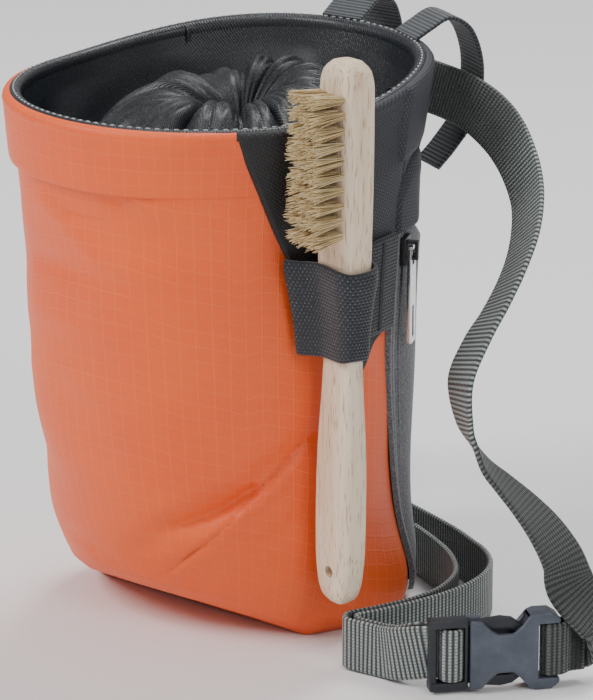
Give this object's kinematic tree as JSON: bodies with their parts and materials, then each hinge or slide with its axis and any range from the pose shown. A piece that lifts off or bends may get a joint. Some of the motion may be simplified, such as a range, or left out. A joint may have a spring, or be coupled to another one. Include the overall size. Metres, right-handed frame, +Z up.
{
  "type": "climbing chalk bag",
  "caption": "Round fabric chalk bag with a gathered drawcord lining, a wooden brush in an elastic holder, a zipped back pocket and a buckled webbing waist belt.",
  "frame": {"origin": "on the floor at the middle of the flat of the bag's base", "axes": "+Z up, +Y towards the back with the belt loops, -Y the front, +X towards the side with the brush and the zip"},
  "size_m": [0.2382, 0.1749, 0.171],
  "materials": {
    "orange_ripstop": "orange ripstop nylon with a fine square grid and a slight sheen",
    "black_fabric": "matt black plain woven fabric",
    "grey_woven": "dark grey coarse woven fabric",
    "grey_felt": "heather grey brushed fabric",
    "dark_nylon": "glossy blue-black twill nylon",
    "elastic": "navy-black ribbed elastic",
    "webbing": "grey-green ribbed webbing with fine dark and light ribs",
    "dark_webbing": "dark ribbed webbing tape",
    "beech": "pale smooth beech, unvarnished",
    "bristle": "golden natural bristle in tufts",
    "slate_plastic": "slate grey moulded plastic with a fine texture",
    "silver": "bright zip pull, softly polished",
    "black_metal": "satin black enamel"
  },
  "bodies": {
    "bag": {"shell": "orange_ripstop", "front_hem": "orange_ripstop", "side_panel": "black_fabric", "back_collar": "grey_woven", "back_yoke": "grey_woven", "zip_garage": "grey_woven", "back_pocket": "grey_felt", "zip_tape": "grey_felt", "gathered_lining": "dark_nylon", "brush_handle": "beech", "brush_bristles": "bristle", "brush_holder": "elastic", "belt_loop_right": "dark_webbing", "belt_loop_left": "dark_webbing", "belt_tail": "webbing", "belt_floor": "webbing", "belt_back": "webbing", "belt_front": "webbing", "buckle_female": "slate_plastic", "buckle_male": "slate_plastic", "zip_slider": "black_metal"},
    "pull": {"zip_pull": "silver"}
  },
  "joints": [
    {"name": "zip_pull_swing", "type": "hinge", "parent": "bag", "child": "pull", "pos_m": [0.04455, 0.03282, 0.10864], "axis": [0.6018, -0.7986, 0], "range_deg": [0, 80]}
  ]
}
